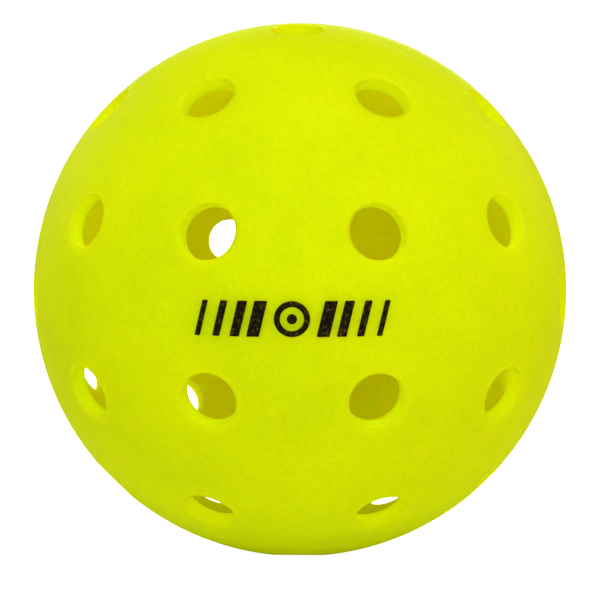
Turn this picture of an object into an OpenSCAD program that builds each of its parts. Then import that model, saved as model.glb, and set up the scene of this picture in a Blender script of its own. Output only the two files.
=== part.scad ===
// Outdoor pickleball ball: two moulded half shells, the weld that joins them, and a printed mark.
// The origin is the centre of the ball. The front pole, which carries the mark, faces -Y, and +Z is up.
// Each half is drawn with its pole along +Z and its equator at z = 0, and is turned into place at the end.

/* [Ball] */
// Outside diameter of the ball
ball_d = 74; // [73:0.1:75.5]
// Thickness of the wall
wall = 1.9; // [1.6:0.05:2.2]

/* [Air holes] */
// Diameter of every air hole
hole_d = 6.8; // [5.5:0.1:7.6]
// Angle from the pole to the ring of four holes
pole_ring_angle = 22.5; // [20:0.5:25]
// Angle from the pole to the middle ring of eight holes
middle_ring_angle = 49.75; // [47:0.25:52]
// Angle from the pole to the ring of eight holes nearest the seam
seam_ring_angle = 74; // [71:0.5:76]

/* [Seam] */
// How far the front half's spigot reaches into the rear half's socket
lap_depth = 1.6; // [1:0.1:2.5]
// Thickness of the weld layer between the two halves
weld_gap = 0.2; // [0.15:0.05:0.3]
// How far the weld stops short of the outer surface, which leaves a fine seam line
seam_line_depth = 0.12; // [0.05:0.01:0.2]
// Radius of the flash bead that the weld leaves inside the ball
flash_r = 0.55; // [0.4:0.05:0.8]
// Turn of the rear half about the pole axis, which staggers the two rings nearest the seam
rear_turn = 22.5; // [0:0.5:45]

/* [Printed mark] */
// Width of the mark from side to side
mark_w = 23; // [18:0.5:24]
// Height of the mark
mark_h = 4.2; // [3:0.1:5]
// Thickness of the ink film
ink = 0.04; // [0.03:0.01:0.08]
// Number of slanted bars on each side of the ring
mark_bars = 4; // [2:1:5]

/* [Hidden] */
$fn = 128;

outer_r = ball_d / 2;
inner_r = outer_r - wall;
lap_r = outer_r - wall / 2;
clear = 1;

// One [angle from the pole, number of holes, azimuth of the first hole] for each ring of a half.
hole_rings = [
    [pole_ring_angle, 4, 45],
    [middle_ring_angle, 8, 22.5],
    [seam_ring_angle, 8, 0]
];

mark_ring_r = mark_h / 2;
mark_ring_wall = 0.7;
mark_dot_r = 0.6;
mark_gap = 0.75;
mark_slant = 0.24;
mark_bar_taper = 0.76;
mark_side_w = (mark_w - 2 * mark_ring_r) / 2;

ball_colour = [0.84, 0.92, 0.05];
weld_colour = [0.76, 0.84, 0.06];
ink_colour = [0.10, 0.08, 0.06];

module face_front() {
    rotate([90, 0, 0]) children();
}

module face_rear() {
    face_front() rotate([0, 0, rear_turn]) rotate([180, 0, 0]) children();
}

module hollow_ball() {
    difference() {
        sphere(r = outer_r);
        sphere(r = inner_r);
    }
}

module air_holes() {
    for (ring = hole_rings, i = [0 : ring[1] - 1])
        rotate([0, ring[0], ring[2] + i * 360 / ring[1]])
            translate([0, 0, inner_r - 2 * clear])
                cylinder(h = wall + 4 * clear, d = hole_d);
}

// The front half: its full wall stops at the equator, and its spigot, the inner part of the wall, goes on.
module front_half_shell() {
    color(ball_colour) face_front() difference() {
        intersection() {
            hollow_ball();
            union() {
                cylinder(h = outer_r + clear, r = outer_r + clear);
                translate([0, 0, -lap_depth])
                    cylinder(h = lap_depth + clear, r = lap_r - weld_gap);
            }
        }
        air_holes();
    }
}

// The rear half: its socket, the outer part of the wall, meets the front half's full wall.
module rear_half_shell() {
    color(ball_colour) face_rear() difference() {
        intersection() {
            hollow_ball();
            translate([0, 0, weld_gap]) difference() {
                cylinder(h = outer_r + clear, r = outer_r + clear);
                translate([0, 0, -clear])
                    cylinder(h = lap_depth + clear, r = lap_r);
            }
        }
        air_holes();
    }
}

// Section of the stepped layer between the halves, at right angles to the seam.
module weld_step() {
    translate([lap_r - weld_gap, -weld_gap])
        square([wall, weld_gap]);
    translate([lap_r - weld_gap, -lap_depth - weld_gap])
        square([weld_gap, lap_depth + weld_gap]);
    translate([lap_r - wall, -lap_depth - weld_gap])
        square([wall, weld_gap]);
}

module weld_section() {
    difference() {
        intersection() {
            weld_step();
            circle(r = outer_r - seam_line_depth);
        }
        circle(r = inner_r);
    }
    intersection() {
        translate([inner_r, -lap_depth - weld_gap / 2]) circle(r = flash_r);
        circle(r = inner_r);
    }
}

module seam_weld() {
    color(weld_colour) face_front() rotate_extrude() weld_section();
}

// A bar of the mark: a parallelogram that leans to the right.
module mark_bar(x, w) {
    h = mark_h / 2;
    lean = mark_slant * h;
    polygon([[x - lean, -h], [x + w - lean, -h], [x + w + lean, h], [x + lean, h]]);
}

// The bars narrow away from the ring, and all but the first share the rest of the width.
function bar_w(i) = 1.5 * pow(mark_bar_taper, i);
function bar_x(i) = mark_ring_r + mark_gap + mark_slant * mark_h / 2
    + i * (mark_side_w - mark_gap - mark_slant * mark_h - bar_w(mark_bars - 1)) / (mark_bars - 1);

module mark_outline() {
    difference() {
        circle(r = mark_ring_r);
        circle(r = mark_ring_r - mark_ring_wall);
    }
    circle(r = mark_dot_r);
    for (i = [0 : mark_bars - 1]) {
        mark_bar(bar_x(i), bar_w(i));
        rotate(180) mark_bar(bar_x(i), bar_w(i));
    }
}

module printed_mark() {
    color(ink_colour) face_front() intersection() {
        translate([0, 0, inner_r]) linear_extrude(height = wall + clear) mark_outline();
        difference() {
            sphere(r = outer_r + ink);
            sphere(r = outer_r);
        }
    }
}

front_half_shell();
rear_half_shell();
seam_weld();
printed_mark();
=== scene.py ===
"""Outdoor pickleball ball: two perforated half shells, the weld between them and a printed mark."""
import math

import bpy
from mathutils import Matrix, Vector, noise
from mathutils.geometry import delaunay_2d_cdt


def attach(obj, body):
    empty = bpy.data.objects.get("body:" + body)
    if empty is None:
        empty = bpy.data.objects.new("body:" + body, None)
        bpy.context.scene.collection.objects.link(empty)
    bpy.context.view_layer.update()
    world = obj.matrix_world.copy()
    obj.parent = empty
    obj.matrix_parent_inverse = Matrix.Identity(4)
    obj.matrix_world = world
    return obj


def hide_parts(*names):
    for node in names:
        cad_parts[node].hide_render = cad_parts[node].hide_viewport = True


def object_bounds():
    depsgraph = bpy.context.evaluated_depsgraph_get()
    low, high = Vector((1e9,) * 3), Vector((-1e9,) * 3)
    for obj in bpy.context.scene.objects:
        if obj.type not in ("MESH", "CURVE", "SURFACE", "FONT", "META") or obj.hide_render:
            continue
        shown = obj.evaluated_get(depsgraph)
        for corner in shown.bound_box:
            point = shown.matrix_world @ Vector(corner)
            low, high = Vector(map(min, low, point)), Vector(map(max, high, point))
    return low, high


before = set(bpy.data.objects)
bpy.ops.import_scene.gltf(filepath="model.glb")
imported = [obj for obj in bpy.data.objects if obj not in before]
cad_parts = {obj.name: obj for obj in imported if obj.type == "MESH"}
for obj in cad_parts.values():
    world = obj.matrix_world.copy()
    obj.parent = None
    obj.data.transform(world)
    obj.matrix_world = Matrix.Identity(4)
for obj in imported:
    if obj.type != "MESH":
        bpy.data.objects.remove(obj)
CAD_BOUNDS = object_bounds()

MM = 0.001

# ---------------------------------------------------------------- dimensions, as in the CAD part (metres)
BALL_R = 37.0 * MM
WALL = 1.9 * MM
INNER_R = BALL_R - WALL
HOLE_R = 3.4 * MM
# (angle from the pole, number of holes, azimuth of the first hole) for each ring of a half, in degrees
HOLE_RINGS = ((22.5, 4, 45.0), (49.75, 8, 22.5), (74.0, 8, 0.0))
REAR_TURN = 22.5
LAP_DEPTH = 1.6 * MM
WELD_GAP = 0.2 * MM
SEAM_LINE_DEPTH = 0.12 * MM
LAP_R = BALL_R - WALL / 2
FLASH_R = 0.55 * MM
MARK_W = 23.0 * MM
MARK_H = 4.2 * MM
MARK_RING_WALL = 0.7 * MM
MARK_DOT_R = 0.6 * MM
MARK_GAP = 0.75 * MM
MARK_SLANT = 0.24
MARK_TAPER = 0.76
MARK_BARS = 4
WIDEST_BAR = 1.5 * MM
INK = 0.04 * MM

# ---------------------------------------------------------------- mesh detail
RIM_ROUND_OUT = 0.10 * MM
RIM_ROUND_IN = 0.06 * MM
SEAM_ROUND = 0.14 * MM
HOLE_SIDES = 72
SEAM_SIDES = 360
FILL_STEP = 1.0 * MM
# rings of points round each hole, as (distance from the rim, number of points)
COLLARS = (
    (0.0, HOLE_SIDES), (0.22 * MM, HOLE_SIDES), (0.6 * MM, HOLE_SIDES * 3 // 4), (1.15 * MM, HOLE_SIDES // 2))
# how far from a rim the plastic is painted brighter, a painted lighter halo round each hole
RIM_REACH = 1.6 * MM
MARK_CORNER = 0.12 * MM
MARK_EDGE = 0.03 * MM
MARK_EDGE_RISE = 0.7
MARK_RING_SIDES, MARK_DOT_SIDES = 96, 48
MARK_SIDE_STEP = 0.3 * MM
MARK_FILL_STEP = 0.25 * MM
# how far the ink's underside lies in the plastic
INK_ROOT = 0.004 * MM

FACE_FRONT = Matrix.Rotation(math.radians(90), 4, "X")
FACE_REAR = FACE_FRONT @ Matrix.Rotation(math.radians(REAR_TURN), 4, "Z") @ Matrix.Rotation(math.pi, 4, "X")


# ================================================================ mesh helpers
def new_piece(name, verts, faces, materials, face_material=None, near_rim=None):
    """A mesh object with smooth shading.
    face_material gives each face's slot; the last argument gives each point's nearness to a hole, which
    weighs a painted lighter halo."""
    mesh = bpy.data.meshes.new(name)
    mesh.from_pydata([tuple(v) for v in verts], [], faces)
    mesh.validate()
    for m in materials:
        mesh.materials.append(m)
    for p in mesh.polygons:
        p.use_smooth = True
    if face_material is not None:
        mesh.polygons.foreach_set("material_index", face_material)
    if near_rim is not None:
        layer = mesh.attributes.new("near_rim", "FLOAT", "POINT")
        layer.data.foreach_set("value", near_rim)
    mesh.update()
    piece = bpy.data.objects.new(name, mesh)
    bpy.context.scene.collection.objects.link(piece)
    return piece


def polar_dir(polar, azimuth):
    """The direction at this angle from +Z and this azimuth, in degrees."""
    p, a = math.radians(polar), math.radians(azimuth)
    return Vector((math.sin(p) * math.cos(a), math.sin(p) * math.sin(a), math.cos(p)))


def hole_axes():
    """The axis of every air hole of a half, pole along +Z, with two directions across it."""
    out = []
    for polar, count, first in HOLE_RINGS:
        for i in range(count):
            d = polar_dir(polar, first + i * 360 / count)
            across = d.orthogonal().normalized()
            out.append((d, across, d.cross(across)))
    return out


HOLES = hole_axes()


def on_circle(r, z, k, sides):
    """Point k of a circle of radius r about +Z, at height z."""
    a = math.tau * k / sides
    return Vector((r * math.cos(a), r * math.sin(a), z))


def hole_point(hole, r, z, k, sides=HOLE_SIDES):
    """Point k of a circle of radius r about a hole's axis, z along it."""
    d, e1, e2 = hole
    a = math.tau * k / sides
    return d * z + (e1 * math.cos(a) + e2 * math.sin(a)) * r


def half_surface(radius, rim_r, seam_z):
    """Triangles of the sphere of this radius above seam_z, with a round gap of radius rim_r at each hole.
    Gives (points, triangles, loops round the holes, loop at the seam)."""
    pts, edges, hole_loops = [], [], []

    def loop(points):
        first = len(pts)
        pts.extend(points)
        ids = list(range(first, len(pts)))
        edges.extend((ids[i], ids[(i + 1) % len(ids)]) for i in range(len(ids)))
        return ids

    for hole in HOLES:
        for n, (more, sides) in enumerate(COLLARS):
            r = rim_r + more
            height = math.sqrt(radius * radius - r * r)
            ids = loop([hole_point(hole, r, height, k + 0.5 * (n % 2), sides) for k in range(sides)])
            if n == 0:
                hole_loops.append(ids)
    seam_r = math.sqrt(radius * radius - seam_z * seam_z)
    seam_loop = loop([on_circle(seam_r, seam_z, k, SEAM_SIDES) for k in range(SEAM_SIDES)])
    # an even spiral of points fills the rest, clear of the loops
    clear = 0.55 * FILL_STEP
    keep_off = math.cos((rim_r + COLLARS[-1][0] + clear) / radius)
    count = int(2 * math.tau * radius * radius / (FILL_STEP * FILL_STEP))
    golden = math.pi * (3 - math.sqrt(5))
    for i in range(count):
        z = 1 - (2 * i + 1) / count
        if z * radius < seam_z + clear:
            break
        s = math.sqrt(1 - z * z)
        v = Vector((s * math.cos(golden * i), s * math.sin(golden * i), z))
        if all(v.dot(h[0]) < keep_off for h in HOLES):
            pts.append(v * radius)
    # seen from the far pole the sphere lies flat and its circles stay circles, so flat triangles serve here
    flat = [Vector((p.x, p.y)) / (radius + p.z) for p in pts]
    _, _, tris, came_from, _, _ = delaunay_2d_cdt(flat, edges, [], 0, 1e-9)
    # a triangle with all three corners on one hole's rim lies in the hole, so it is left out
    rim_of = {i: h for h, ids in enumerate(hole_loops) for i in ids}
    kept = []
    for tri in tris:
        ids = [came_from[i][0] for i in tri]
        rims = {rim_of.get(i) for i in ids}
        if len(rims) > 1 or None in rims:
            kept.append(ids)
    return pts, kept, hole_loops, seam_loop


def rim_profile():
    """(r, z) down the wall of a hole, from the outer surface to the inner, rounded at both ends."""
    steps_out, steps_in, steps_wall = 6, 4, 3
    out = []
    cr = HOLE_R + RIM_ROUND_OUT
    cz = math.sqrt((BALL_R - RIM_ROUND_OUT) ** 2 - cr * cr)
    start = math.atan2(cz, cr)
    for i in range(steps_out + 1):
        a = start + (math.pi - start) * i / steps_out
        out.append((cr + RIM_ROUND_OUT * math.cos(a), cz + RIM_ROUND_OUT * math.sin(a)))
    ir = HOLE_R + RIM_ROUND_IN
    iz = math.sqrt((INNER_R + RIM_ROUND_IN) ** 2 - ir * ir)
    for i in range(1, steps_wall):
        out.append((HOLE_R, cz + (iz - cz) * i / steps_wall))
    end = math.atan2(-iz, -ir)
    for i in range(steps_in + 1):
        a = -math.pi + (end + math.pi) * i / steps_in
        out.append((ir + RIM_ROUND_IN * math.cos(a), iz + RIM_ROUND_IN * math.sin(a)))
    return out


def bridge(faces, a, b):
    """Quads between two loops with the same number of points."""
    n = len(a)
    faces.extend((a[i], a[(i + 1) % n], b[(i + 1) % n], b[i]) for i in range(n))


def half_shell(name, place, seam_profile, inner_seam_z, outer_seam_z, materials):
    """One half of the ball as a closed mesh.
    Slot 0 is its outer skin, slot 1 its inner skin, slot 2 the holes' walls."""
    profile = rim_profile()
    outer, outer_tris, outer_loops, outer_seam = half_surface(BALL_R, profile[0][0], outer_seam_z)
    inner, inner_tris, inner_loops, inner_seam = half_surface(INNER_R, profile[-1][0], inner_seam_z)
    verts = list(outer)
    shift = len(verts)
    verts += inner
    faces = []
    slots = []

    def close(new, slot):
        faces.extend(new)
        slots.extend([slot] * len(new))

    def turned(tri, pts, outward):
        a, b, c = (pts[i] for i in tri)
        faces_outward = (b - a).cross(c - a).dot(a) > 0
        return tri if faces_outward == outward else tri[::-1]

    close([turned(t, outer, True) for t in outer_tris], 0)
    close([[i + shift for i in turned(t, inner, False)] for t in inner_tris], 1)
    for h, hole in enumerate(HOLES):
        above = outer_loops[h]
        strips = []
        for r, z in profile[1:-1]:
            first = len(verts)
            verts.extend(hole_point(hole, r, z, k) for k in range(HOLE_SIDES))
            ids = list(range(first, first + HOLE_SIDES))
            bridge(strips, above, ids)
            above = ids
        bridge(strips, above, [i + shift for i in inner_loops[h]])
        close([f[::-1] for f in strips], 2)
    above = outer_seam
    strips = []
    for r, z in seam_profile:
        first = len(verts)
        verts.extend(on_circle(r, z, k, SEAM_SIDES) for k in range(SEAM_SIDES))
        ids = list(range(first, first + SEAM_SIDES))
        bridge(strips, above, ids)
        above = ids
    bridge(strips, above, [i + shift for i in inner_seam])
    close([f[::-1] for f in strips], 0)
    # each point's weight of the painted lighter halo, full at a hole's rim and fading away from it
    near = []
    for v in verts:
        away = min(v.angle(h[0]) for h in HOLES) * v.length - HOLE_R
        near.append(max(0.0, min(1.0, 1.0 - away / RIM_REACH)) ** 2)
    return new_piece(name, [place @ v for v in verts], faces, materials, slots, near)


def seam_edge(z0, steps=5):
    """The rounded outer edge of a half at the seam, from the sphere down to the flat at z0."""
    cz = z0 + SEAM_ROUND
    cr = math.sqrt((BALL_R - SEAM_ROUND) ** 2 - cz * cz)
    start = math.atan2(cz, cr)
    return [(cr + SEAM_ROUND * math.cos(a), cz + SEAM_ROUND * math.sin(a))
            for a in (start + (-math.pi / 2 - start) * i / steps for i in range(steps + 1))]


# ================================================================ materials
def material(name):
    """A material with one Principled shader: (material, nodes, links, shader)."""
    m = bpy.data.materials.new(name)
    m.use_nodes = True
    nodes, links = m.node_tree.nodes, m.node_tree.links
    nodes.clear()
    out = nodes.new("ShaderNodeOutputMaterial")
    bsdf = nodes.new("ShaderNodeBsdfPrincipled")
    links.new(bsdf.outputs[0], out.inputs["Surface"])
    return m, nodes, links, bsdf


def noise_node(nodes, links, scale, detail=3.0, rough=0.5):
    """Noise in object space, scale in features a metre."""
    coord = nodes.get("coord") or nodes.new("ShaderNodeTexCoord")
    coord.name = "coord"
    n = nodes.new("ShaderNodeTexNoise")
    n.inputs["Scale"].default_value = scale
    n.inputs["Detail"].default_value = detail
    n.inputs["Roughness"].default_value = rough
    links.new(coord.outputs["Object"], n.inputs["Vector"])
    return n.outputs["Fac"]


def ramp(nodes, links, fac, stops):
    """A colour ramp from stops of (position, colour)."""
    r = nodes.new("ShaderNodeValToRGB")
    e = r.color_ramp.elements
    while len(e) > 1:
        e.remove(e[-1])
    e[0].position, e[0].color = stops[0][0], (*stops[0][1], 1)
    for pos, col in stops[1:]:
        x = e.new(pos)
        x.color = (*col, 1)
    links.new(fac, r.inputs["Fac"])
    return r.outputs["Color"]


def map_range(nodes, links, fac, lo, hi, to_lo, to_hi):
    """fac from lo to hi, turned into to_lo to to_hi."""
    n = nodes.new("ShaderNodeMapRange")
    for key, v in (("From Min", lo), ("From Max", hi), ("To Min", to_lo), ("To Max", to_hi)):
        n.inputs[key].default_value = v
    links.new(fac, n.inputs["Value"])
    return n.outputs["Result"]


def bump(nodes, links, bsdf, height, strength, distance, after=None):
    """Relief from height on the shader's surface, laid over the relief given as after."""
    n = nodes.new("ShaderNodeBump")
    n.inputs["Strength"].default_value = strength
    n.inputs["Distance"].default_value = distance
    links.new(height, n.inputs["Height"])
    if after is not None:
        links.new(after, n.inputs["Normal"])
    links.new(n.outputs["Normal"], bsdf.inputs["Normal"])
    return n.outputs["Normal"]


def emit(links, bsdf, colour, strength):
    """Light of this colour sent out by the surface, as strong as the output given as strength."""
    bsdf.inputs["Emission Color"].default_value = colour
    links.new(strength, bsdf.inputs["Emission Strength"])


def mixed(nodes, links, a, b, fac):
    """fac of the colour b over the output a."""
    n = nodes.new("ShaderNodeMix")
    n.data_type = "RGBA"
    under, over = (i for i in n.inputs if i.type == "RGBA")
    links.new(a, under)
    over.default_value = (*b, 1)
    links.new(fac, next(i for i in n.inputs if i.type == "VALUE"))
    return next(o for o in n.outputs if o.type == "RGBA")


# scale of each pattern of the plastic, in features a metre
CLOUDS = 60.0
WAVES = 130.0
FLECKS = 330.0
ROUGH_SPOTS = 420.0
ORANGE_PEEL = 1300.0
GRIT = 1500.0
FLECK_SHARE = 0.28
GRIT_SHARE = 0.10
GRIT_DARKNESS = 0.55
PEEL_DEPTH = 0.05 * MM
WAVE_DEPTH = 0.12 * MM
# how far each colour of light spreads, as parts of THROUGH
SCATTER = (1.0, 0.85, 0.08)
THROUGH = 5.5 * MM
# colours of the painted light sent out of cut edges, inside the ball and along the seam
EDGE_LIGHT = (0.74, 1.0, 0.0, 1)
SIDE_LIGHT = (0.96, 1.0, 0.0, 1)
SEAM_LIGHT = (0.78, 1.0, 0.0, 1)
# how far from the seam's plane the painted seam light reaches
SEAM_GLOW_REACH = 3.5 * MM
# distances from the seam's plane at which the side glow is full and gone
SIDE_GLOW_SPAN = (14 * MM, 28 * MM)
# the painted side glow is weaker low down and stronger towards the top
# (lower height, upper height, strength at the lower, strength at the upper)
SIDE_GLOW_HEIGHTS = (-30 * MM, 30 * MM, 0.55, 1.9)


def plastic(name, dark, mid, light, yellow, roughness=(0.56, 0.66), rim=None, edge_glow=0.0, side_glow=0.0,
            seam_glow=0.0):
    """Soft moulded polyethylene: cloudy colour, yellower flecks, fine grit, and light scattered in the wall.
    The rim colour is a painted lighter halo next to a hole, for the light that leaks out of the wall there.
    edge_glow is painted light sent out of a cut edge, for the light that daylight pigment sends out there.
    side_glow is painted light inside the ball, away from the two poles, for light that comes through the
    wall.
    seam_glow is painted light near the seam, for the light that crosses the weld, which meshes in separate
    pieces don't pass on."""
    m, nodes, links, bsdf = material(name)
    cloud = noise_node(nodes, links, CLOUDS, 5.0, 0.6)
    colour = ramp(nodes, links, cloud, ((0.34, dark), (0.52, mid), (0.70, light)))
    fleck = map_range(nodes, links, noise_node(nodes, links, FLECKS, 4.0, 0.65), 0.50, 0.66, 0.0, FLECK_SHARE)
    colour = mixed(nodes, links, colour, yellow, fleck)
    grit = noise_node(nodes, links, GRIT, 3.0, 0.7)
    shade = map_range(nodes, links, grit, 0.40, 0.62, GRIT_SHARE, 0.0)
    colour = mixed(nodes, links, colour, tuple(c * GRIT_DARKNESS for c in dark), shade)
    # painted lighter halo round the holes, weighted by each point's nearness to a rim
    if rim is not None:
        near = nodes.new("ShaderNodeAttribute")
        near.attribute_name = "near_rim"
        colour = mixed(nodes, links, colour, rim, near.outputs["Fac"])
    links.new(colour, bsdf.inputs["Base Color"])
    if side_glow or seam_glow:
        place = nodes.new("ShaderNodeSeparateXYZ")
        links.new(nodes["coord"].outputs["Object"], place.inputs[0])
        off_seam = nodes.new("ShaderNodeMath")
        off_seam.operation = "ABSOLUTE"
        links.new(place.outputs["Y"], off_seam.inputs[0])
    # painted light along the seam, strongest at its plane and gone a little way off
    if seam_glow:
        glow = map_range(nodes, links, off_seam.outputs[0], 0.0, SEAM_GLOW_REACH, seam_glow, 0.0)
        emit(links, bsdf, SEAM_LIGHT, glow)
    # painted light inside the ball: full near the seam's plane, gone towards the poles, stronger towards the
    # top
    if side_glow:
        sideways = map_range(nodes, links, off_seam.outputs[0], *SIDE_GLOW_SPAN, side_glow, 0.0)
        upward = map_range(nodes, links, place.outputs["Z"], *SIDE_GLOW_HEIGHTS)
        both = nodes.new("ShaderNodeMath")
        both.operation = "MULTIPLY"
        links.new(sideways, both.inputs[0])
        links.new(upward, both.inputs[1])
        emit(links, bsdf, SIDE_LIGHT, both.outputs[0])
    # painted light on the holes' walls, strongest at the inner skin and gone at the outer
    if edge_glow:
        depth = nodes.new("ShaderNodeVectorMath")
        depth.operation = "LENGTH"
        links.new(nodes["coord"].outputs["Object"], depth.inputs[0])
        glow = map_range(nodes, links, depth.outputs["Value"], INNER_R, BALL_R, edge_glow, 0.0)
        emit(links, bsdf, EDGE_LIGHT, glow)
    spots = noise_node(nodes, links, ROUGH_SPOTS, 3.0, 0.6)
    links.new(map_range(nodes, links, spots, 0.3, 0.7, *roughness), bsdf.inputs["Roughness"])
    peel = bump(nodes, links, bsdf, noise_node(nodes, links, ORANGE_PEEL, 3.0, 0.6), 0.22, PEEL_DEPTH)
    bump(nodes, links, bsdf, noise_node(nodes, links, WAVES, 2.0, 0.4), 0.15, WAVE_DEPTH, after=peel)
    bsdf.inputs["Specular IOR Level"].default_value = 0.012
    bsdf.inputs["Specular Tint"].default_value = (1.0, 1.0, 0.1, 1)
    bsdf.inputs["Subsurface Weight"].default_value = 1.0
    bsdf.inputs["Subsurface Radius"].default_value = SCATTER
    bsdf.inputs["Subsurface Scale"].default_value = THROUGH
    bsdf.subsurface_method = "RANDOM_WALK"
    return m


# the outer skin, with a painted lighter halo round each hole and painted light along the seam
SHELL = plastic(
    "ball_plastic", (0.603, 0.77, 0.002), (0.648, 0.82, 0.001), (0.692, 0.86, 0.001), (0.73, 0.78, 0.001),
    rim=(0.675, 0.875, 0.001), seam_glow=0.09)
# the inner skin: colours set apart from the outer skin's to paint the light inside the ball, and a painted
# glow
INSIDE = plastic(
    "ball_plastic_inside", (0.71, 0.72, 0.002), (0.75, 0.75, 0.001), (0.78, 0.77, 0.001), (0.78, 0.74, 0.001),
    (0.6, 0.7), side_glow=0.115)
# the front half's hole walls: colours painted lighter than the outer skin's and a painted glow, for light
# scattered through the wall
HOLE_WALL = plastic(
    "ball_plastic_cut", (0.68, 0.85, 0.002), (0.72, 0.89, 0.001), (0.76, 0.92, 0.001), (0.78, 0.88, 0.001),
    (0.6, 0.7), edge_glow=0.27)
# the rear half's hole walls: their own lighter colours and a weaker painted glow, both painted light for the
# light inside the ball
REAR_HOLE_WALL = plastic(
    "ball_plastic_cut_rear", (0.72, 0.80, 0.002), (0.76, 0.84, 0.001), (0.80, 0.87, 0.001),
    (0.82, 0.83, 0.001), (0.6, 0.7), side_glow=0.06)
# the weld, with painted light along the seam
WELD = plastic(
    "weld_plastic", (0.58, 0.72, 0.003), (0.63, 0.78, 0.002), (0.68, 0.83, 0.002), (0.70, 0.76, 0.002),
    seam_glow=0.16)


INK_WEAR = 2400.0
INK_GRAIN = 1500.0
INK_BUMP = 0.03 * MM


def ink_material():
    """Black ink, worn thin and brown in small spots."""
    m, nodes, links, bsdf = material("mark_ink")
    wear = noise_node(nodes, links, INK_WEAR, 4.0, 0.65)
    colour = ramp(nodes, links, wear, (
        (0.42, (0.003, 0.002, 0.0)), (0.52, (0.009, 0.006, 0.0)),
        (0.60, (0.035, 0.026, 0.001)), (0.70, (0.11, 0.10, 0.002))))
    links.new(colour, bsdf.inputs["Base Color"])
    bsdf.inputs["Roughness"].default_value = 0.6
    bsdf.inputs["Specular IOR Level"].default_value = 0.05
    bump(nodes, links, bsdf, noise_node(nodes, links, INK_GRAIN, 3.0), 0.15, INK_BUMP)
    return m


MARK_INK = ink_material()


# ================================================================ the two halves
def half(name, place, seam_z, lap_r, lap_z, hole_wall):
    """A half whose outer edge ends at seam_z, with a lap face of radius lap_r from there to lap_z."""
    edge = seam_edge(seam_z)
    lap = [(lap_r, seam_z), (lap_r, (seam_z + lap_z) / 2), (lap_r, lap_z)]
    return half_shell(name, place, edge[1:] + lap, lap_z, edge[0][1], [SHELL, INSIDE, hole_wall])


front = half("front_half", FACE_FRONT, 0.0, LAP_R - WELD_GAP, -LAP_DEPTH, HOLE_WALL)
rear = half("rear_half", FACE_REAR, WELD_GAP, LAP_R, WELD_GAP + LAP_DEPTH, REAR_HOLE_WALL)


# ================================================================ the weld
# unevenness of the weld, as (noise scale on a circle of radius 1, share of the size)
BEAD_SWELL = (9.0, 0.10)
BEAD_RIPPLE = (31.0, 0.05)
GROOVE_RIPPLE = (23.0, 0.25)
BEAD_MEAN = 0.88
BEAD_FROM, BEAD_TURN, BEAD_STEPS = math.radians(100), math.radians(160), 9
GROOVE_DIP = 0.03 * MM
WELD_INSET = 0.02 * MM


def uneven(here, pattern):
    """Smooth noise at a point of the circle, from (scale, share)."""
    scale, share = pattern
    return noise.noise(here * scale) * share


def weld_section(turn):
    """(r, z) round the weld at this angle: a stepped layer, and inside it a bead that swells and thins."""
    here = Vector((math.cos(turn), math.sin(turn), 0.0))
    bead = FLASH_R * (BEAD_MEAN + (uneven(here, BEAD_SWELL) + uneven(here, BEAD_RIPPLE)))
    top = BALL_R - SEAM_LINE_DEPTH * (1.0 + uneven(here, GROOVE_RIPPLE))
    z_end = -LAP_DEPTH - WELD_GAP
    inner = INNER_R + WELD_INSET
    pts = [(LAP_R, -WELD_GAP), (top, -WELD_GAP), (top - GROOVE_DIP, -WELD_GAP / 2), (top, 0.0),
           (LAP_R - WELD_GAP, 0.0), (LAP_R - WELD_GAP, -LAP_DEPTH), (inner, -LAP_DEPTH)]
    mid = -LAP_DEPTH - WELD_GAP / 2
    for i in range(BEAD_STEPS + 1):
        a = BEAD_FROM + BEAD_TURN * i / BEAD_STEPS
        pts.append((INNER_R + bead * math.cos(a), mid + bead * math.sin(a)))
    pts += [(inner, z_end), (LAP_R, z_end)]
    return pts


def weld_ring():
    """The weld's section taken round the seam."""
    verts, rings = [], []
    for k in range(SEAM_SIDES):
        a = math.tau * k / SEAM_SIDES
        section = weld_section(a)
        rings.append(list(range(len(verts), len(verts) + len(section))))
        verts += [FACE_FRONT @ Vector((r * math.cos(a), r * math.sin(a), z)) for r, z in section]
    faces = []
    for k, ring in enumerate(rings):
        bridge(faces, ring, rings[(k + 1) % SEAM_SIDES])
    return new_piece("weld_bead", verts, faces, [WELD])


weld = weld_ring()


# ================================================================ the printed mark
def on_ball(x, y, lift):
    """The point of the front of the ball straight behind (x, y) of the mark, lift above its surface."""
    r = BALL_R + lift
    return FACE_FRONT @ Vector((x, y, math.sqrt(r * r - x * x - y * y)))


def rounded(corners, radius, steps=5):
    """A convex outline with its corners rounded and its sides divided finely."""
    out = []
    n = len(corners)
    for i in range(n):
        p, c, q = (Vector(corners[j % n]) for j in (i - 1, i, i + 1))
        u, v = (p - c).normalized(), (q - c).normalized()
        half_angle = math.acos(max(-1, min(1, u.dot(v)))) / 2
        cut = radius / math.tan(half_angle)
        centre = c + (u + v).normalized() * (radius / math.sin(half_angle))
        a, b = c + u * cut - centre, c + v * cut - centre
        a0 = math.atan2(a.y, a.x)
        turn = (math.atan2(b.y, b.x) - a0 + math.pi) % math.tau - math.pi
        out += [centre + Vector((math.cos(a0 + turn * s / steps), math.sin(a0 + turn * s / steps))) * radius
                for s in range(steps + 1)]
        far = Vector(corners[(i + 1) % n])
        side = far - c
        parts = max(1, int(side.length / MARK_SIDE_STEP))
        start, end = out[-1], far - side.normalized() * cut
        out += [start.lerp(end, s / parts) for s in range(1, parts)]
    return out


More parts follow.
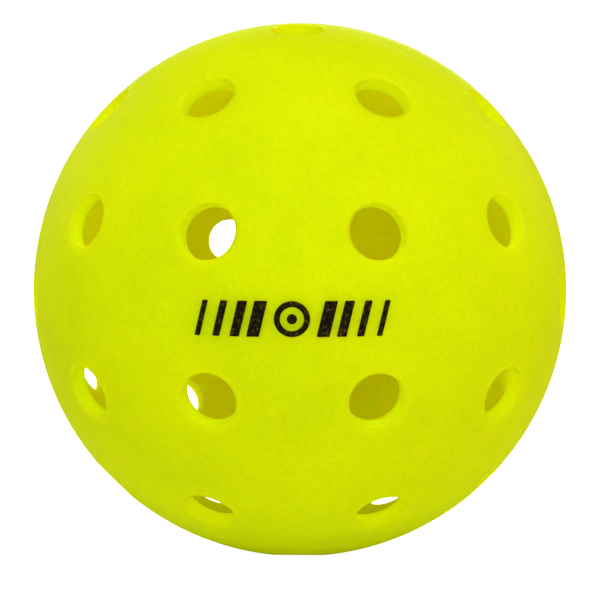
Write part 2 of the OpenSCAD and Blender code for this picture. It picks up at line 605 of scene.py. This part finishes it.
def mark_solids():
    """Outlines of the mark: (outer outline, inner outline or None)."""
    h = MARK_H / 2
    lean = MARK_SLANT * h

    def circle(r, n):
        return [Vector((r * math.cos(math.tau * k / n), r * math.sin(math.tau * k / n))) for k in range(n)]

    shapes = [(circle(h, MARK_RING_SIDES), circle(h - MARK_RING_WALL, MARK_RING_SIDES)),
              (circle(MARK_DOT_R, MARK_DOT_SIDES), None)]
    side_w = MARK_W / 2 - h
    widths = [WIDEST_BAR * MARK_TAPER ** i for i in range(MARK_BARS)]
    pitch = (side_w - MARK_GAP - 2 * lean - widths[-1]) / (MARK_BARS - 1)
    for i, w in enumerate(widths):
        x = h + MARK_GAP + lean + i * pitch
        corners = [(x - lean, -h), (x + w - lean, -h), (x + w + lean, h), (x + lean, h)]
        for s in (1, -1):
            shapes.append((rounded([(s * a, s * b) for a, b in corners], MARK_CORNER), None))
    return shapes


def printed_mark():
    """The ink film, a closed solid for each shape of the mark, laid on the ball."""
    verts, faces = [], []

    def row(points, lift):
        first = len(verts)
        verts.extend(on_ball(p.x, p.y, lift) for p in points)
        return list(range(first, len(verts)))

    for outline, gap in mark_solids():
        n = len(outline)
        middle = sum(outline, Vector((0.0, 0.0))) / n
        if gap is None:
            size = max((p - middle).length for p in outline)
            inner = [middle] * n
        else:
            size = (outline[0] - gap[0]).length
            inner = gap
        steps = max(3, int(size / MARK_FILL_STEP))
        foot = row(outline, -INK_ROOT)
        above = foot
        fractions = [MARK_EDGE / size * 0.5, MARK_EDGE / size] + [i / steps for i in range(1, steps)]
        for j, f in enumerate(sorted(fractions)):
            ids = row([p.lerp(q, f) for p, q in zip(outline, inner)], INK if j else INK * MARK_EDGE_RISE)
            bridge(faces, above, ids)
            above = ids
        if gap is None:
            tip = len(verts)
            verts.append(on_ball(middle.x, middle.y, INK))
            faces.extend((above[i], above[(i + 1) % n], tip) for i in range(n))
            base = len(verts)
            verts.append(on_ball(middle.x, middle.y, -INK_ROOT))
            faces.extend((foot[(i + 1) % n], foot[i], base) for i in range(n))
        else:
            lip = row(gap, INK * MARK_EDGE_RISE)
            bridge(faces, above, lip)
            under = row(gap, -INK_ROOT)
            bridge(faces, lip, under)
            bridge(faces, under, foot)
    return new_piece("printed_device", verts, faces, [MARK_INK])


mark = printed_mark()

for piece, node, slot in (
        (front, "front_half_shell", "shell_plastic"),
        (rear, "rear_half_shell", "shell_plastic"),
        (weld, "seam_weld", "weld_plastic"),
        (mark, "printed_mark", "mark_ink")):
    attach(piece, "root")
    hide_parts(node)


# ================================================================ stage, light and camera
FLOOR_RADIUS = 6.0
# the light the floor gives to the camera, and the share that it throws back on the ball
FLOOR_LIFT = 1.0
FLOOR_BOUNCE = 0.9
LIGHT_DISTANCE = 1.0
LIGHT_SIZE = 0.6
ROOM_COLOUR = (1.0, 1.0, 0.8, 1)
ROOM_LIGHT = 0.17
ROOM_SEEN = 1.05
CAMERA_AZ, CAMERA_EL, CAMERA_DISTANCE = 1.45, 5.3, 5.5 * BALL_R
CAMERA_LENS = 86.5
CAMERA_SHIFT = -0.0172


def studio_shader(nodes, links, camera_side, light_side, output):
    """One shader as the camera sees it, another for the light it throws."""
    mix = nodes.new("ShaderNodeMixShader")
    path = nodes.new("ShaderNodeLightPath")
    links.new(path.outputs["Is Camera Ray"], mix.inputs[0])
    links.new(light_side, mix.inputs[1])
    links.new(camera_side, mix.inputs[2])
    links.new(mix.outputs[0], output)


def disc(name, radius, z, sides, rings):
    """A flat round floor, finer towards its middle."""
    verts = [Vector((0.0, 0.0, z))]
    faces = []
    for j in range(1, rings + 1):
        r = radius * (j / rings) ** 2
        verts += [on_circle(r, z, k, sides) for k in range(sides)]
    for k in range(sides):
        faces.append((0, 1 + k, 1 + (k + 1) % sides))
        for j in range(rings - 1):
            a, b = 1 + j * sides, 1 + (j + 1) * sides
            faces.append((a + k, b + k, b + (k + 1) % sides, a + (k + 1) % sides))
    m, nodes, links, bsdf = material("studio_floor")
    bsdf.inputs["Base Color"].default_value = (0.95, 0.95, 0.95, 1)
    bsdf.inputs["Roughness"].default_value = 0.9
    bsdf.inputs["Specular IOR Level"].default_value = 0.0
    bsdf.inputs["Emission Color"].default_value = (1, 1, 1, 1)
    bsdf.inputs["Emission Strength"].default_value = FLOOR_LIFT
    grey = nodes.new("ShaderNodeBsdfDiffuse")
    grey.inputs["Color"].default_value = (FLOOR_BOUNCE, FLOOR_BOUNCE, FLOOR_BOUNCE, 1)
    out = next(n for n in nodes if n.bl_idname == "ShaderNodeOutputMaterial")
    studio_shader(nodes, links, bsdf.outputs[0], grey.outputs[0], out.inputs["Surface"])
    return new_piece(name, verts, faces, [m])


floor = disc("studio_floor", FLOOR_RADIUS, CAD_BOUNDS[0][2], sides=64, rings=12)


def from_front(azimuth, elevation):
    """The direction at this azimuth, 0 in front of the ball, and this elevation, in degrees."""
    a, e = math.radians(azimuth), math.radians(elevation)
    return Vector((math.sin(a) * math.cos(e), -math.cos(a) * math.cos(e), math.sin(e)))


def softbox(name, azimuth, elevation, power, colour):
    """A round soft light aimed at the ball from this azimuth, 0 in front of it, and this elevation."""
    place = from_front(azimuth, elevation) * LIGHT_DISTANCE
    data = bpy.data.lights.new(name, "AREA")
    data.shape = "DISK"
    data.size = LIGHT_SIZE
    data.energy = power
    data.color = colour
    lamp = bpy.data.objects.new(name, data)
    lamp.location = place
    lamp.rotation_euler = (-place).to_track_quat("-Z", "Y").to_euler()
    bpy.context.scene.collection.objects.link(lamp)


for name, azimuth, elevation, power, colour in (
        ("softbox_front", 2, 5, 2.5, (1.0, 0.62, 0.52)),
        ("softbox_key", 0, 30, 2.8, (0.94, 1.0, 0.85)),
        ("softbox_high", 0, 60, 3.5, (0.66, 1.0, 0.85)),
        ("softbox_right", 50, 15, 1.4, (0.90, 0.48, 0.40)),
        ("softbox_top", 0, 85, 2.0, (1.0, 0.50, 0.55)),
        ("softbox_back", 180, 15, 4.0, (0.96, 1.0, 0.85)),
        ("softbox_back_left", -135, 20, 2.4, (1.0, 1.0, 0.85)),
        ("softbox_back_right", 135, 20, 1.5, (0.78, 1.0, 0.85))):
    softbox(name, azimuth, elevation, power, colour)


def room():
    """The room round the ball: plain white where the camera sees it, and a weak light on the ball."""
    world = bpy.data.worlds.new("studio")
    world.use_nodes = True
    nodes, links = world.node_tree.nodes, world.node_tree.links
    nodes.clear()
    out = nodes.new("ShaderNodeOutputWorld")
    light = nodes.new("ShaderNodeBackground")
    light.inputs["Color"].default_value = ROOM_COLOUR
    light.inputs["Strength"].default_value = ROOM_LIGHT
    seen = nodes.new("ShaderNodeBackground")
    seen.inputs["Color"].default_value = (1, 1, 1, 1)
    seen.inputs["Strength"].default_value = ROOM_SEEN
    studio_shader(nodes, links, seen.outputs[0], light.outputs[0], out.inputs["Surface"])
    bpy.context.scene.world = world


def front_camera():
    """The camera in front of the ball, a little above it and aimed at its centre."""
    data = bpy.data.cameras.new("camera")
    data.lens = CAMERA_LENS
    data.sensor_width = 36.0
    data.clip_start = 0.01
    data.shift_y = CAMERA_SHIFT
    camera = bpy.data.objects.new("camera", data)
    camera.location = from_front(CAMERA_AZ, CAMERA_EL) * CAMERA_DISTANCE
    camera.rotation_euler = (-camera.location).to_track_quat("-Z", "Y").to_euler()
    bpy.context.scene.collection.objects.link(camera)
    bpy.context.scene.camera = camera


room()
front_camera()
bpy.context.scene.view_settings.view_transform = "Standard"
